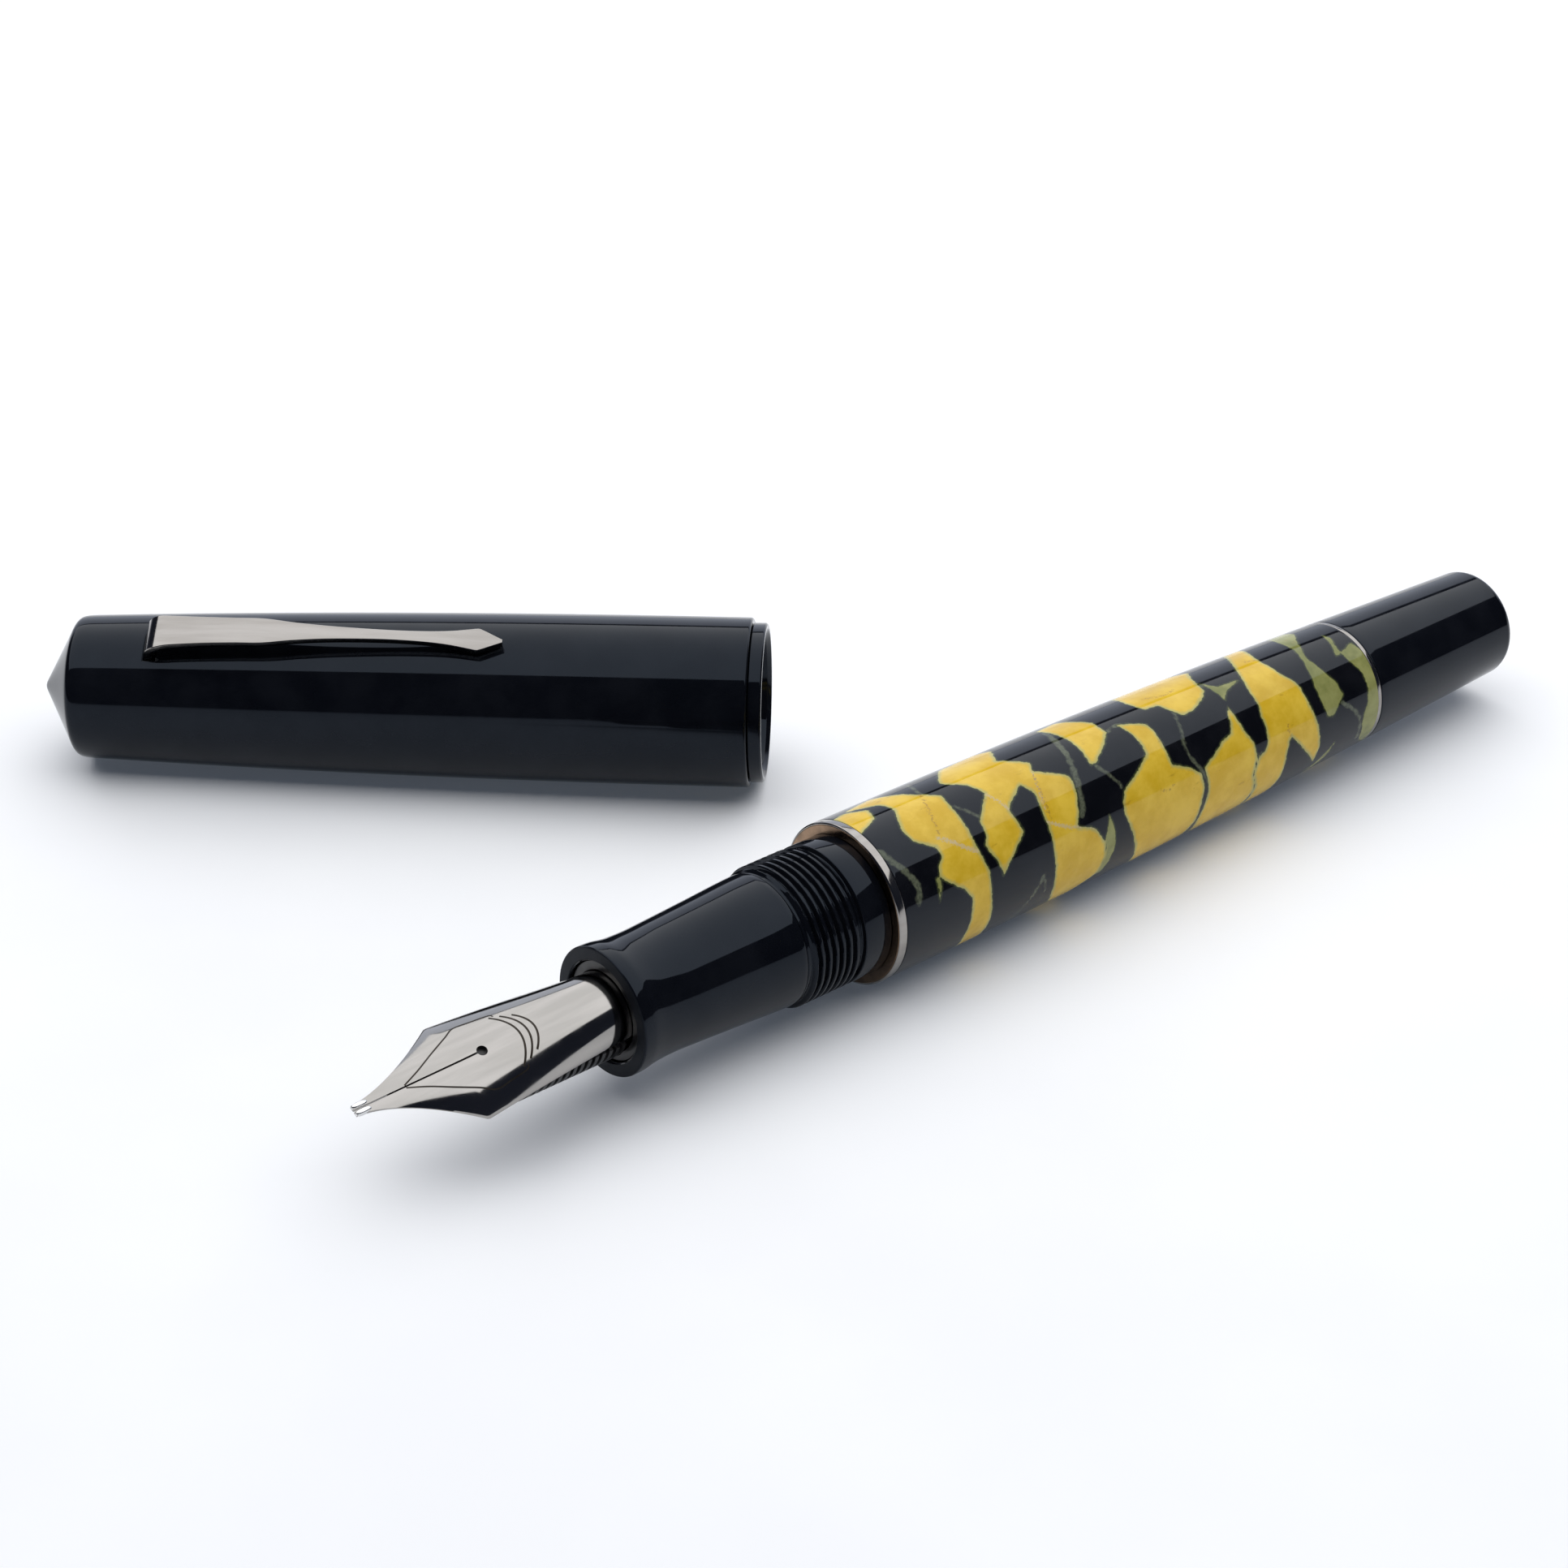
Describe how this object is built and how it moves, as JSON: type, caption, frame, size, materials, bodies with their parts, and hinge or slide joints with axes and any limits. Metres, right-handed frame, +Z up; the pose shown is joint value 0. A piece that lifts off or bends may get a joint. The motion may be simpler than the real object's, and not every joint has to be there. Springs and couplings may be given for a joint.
{
  "type": "fountain pen",
  "caption": "Fountain pen with a marbled resin barrel, a large open nib and a piston converter inside, and its black screw cap with a clip lying beside it.",
  "frame": {"origin": "centre of the bounding box of the pen and cap, at the level of the surface that they lie on", "axes": "+X along the cap towards its mouth, +Z up, +Y across the cap away from the pen's nib"},
  "size_m": [0.1358, 0.0962, 0.0162],
  "materials": {
    "black_resin": "polished black resin",
    "marbled_resin": "polished black resin with yellow and pale green shards",
    "gunmetal": "polished steel with a dark ruthenium-like plating",
    "feed_plastic": "satin moulded plastic",
    "clear_plastic": "clear moulded plastic",
    "seal_rubber": "smooth"
  },
  "bodies": {
    "pen_barrel": {"barrel": "marbled_resin", "barrel_thread_sleeve": "black_resin", "front_trim_ring": "gunmetal", "rear_trim_ring": "gunmetal", "rear_bushing": "black_resin"},
    "grip": {"grip_section": "black_resin", "converter_mouth": "feed_plastic", "reservoir_tube": "clear_plastic", "converter_band": "gunmetal"},
    "nib_unit": {"nib": "gunmetal", "feed": "feed_plastic", "nib_collar": "feed_plastic"},
    "piston": {"piston_seal": "seal_rubber", "piston_rod": "feed_plastic"},
    "knob": {"converter_knob": "feed_plastic", "drive_spindle": "feed_plastic"},
    "blind_cap": {"blind_cap": "black_resin"},
    "cap": {"cap_body": "black_resin", "cap_thread_sleeve": "black_resin", "inner_cap": "black_resin"},
    "clip": {"clip": "gunmetal"}
  },
  "joints": [
    {"name": "cap_lift", "type": "slide", "parent": "pen_barrel", "child": "cap", "axis": [0, 0, 1], "range_m": [0, 0.08]},
    {"name": "clip_flex", "type": "hinge", "parent": "cap", "child": "clip", "pos_m": [-0.05698, 0.01806, 0.01294], "axis": [0.0073, -0.8988, -0.4383], "range_deg": [0, 5], "stiffness_Nm_per_rad": 1},
    {"name": "grip_unscrew", "type": "slide", "parent": "pen_barrel", "child": "grip", "axis": [-0.7097, -0.7045, 0.0058], "range_m": [0, 0.08]},
    {"name": "nib_unit_unscrew", "type": "slide", "parent": "grip", "child": "nib_unit", "axis": [-0.7097, -0.7045, 0.0058], "range_m": [0, 0.022]},
    {"name": "blind_cap_unscrew", "type": "slide", "parent": "pen_barrel", "child": "blind_cap", "axis": [0.7097, 0.7045, -0.0058], "range_m": [0, 0.025]},
    {"name": "knob_turn", "type": "hinge", "parent": "grip", "child": "knob", "pos_m": [0.00798, -0.01144, 0.00722], "axis": [-0.7097, -0.7045, 0.0058], "range_deg": [0, 2880]},
    {"name": "piston_travel", "type": "slide", "parent": "grip", "child": "piston", "axis": [0.7097, 0.7045, -0.0058], "range_m": [0, 0.024]}
  ],
  "couplings": [
    {"joint": "knob_turn", "follows": "piston_travel", "rad_per_m": 2094.4}
  ]
}
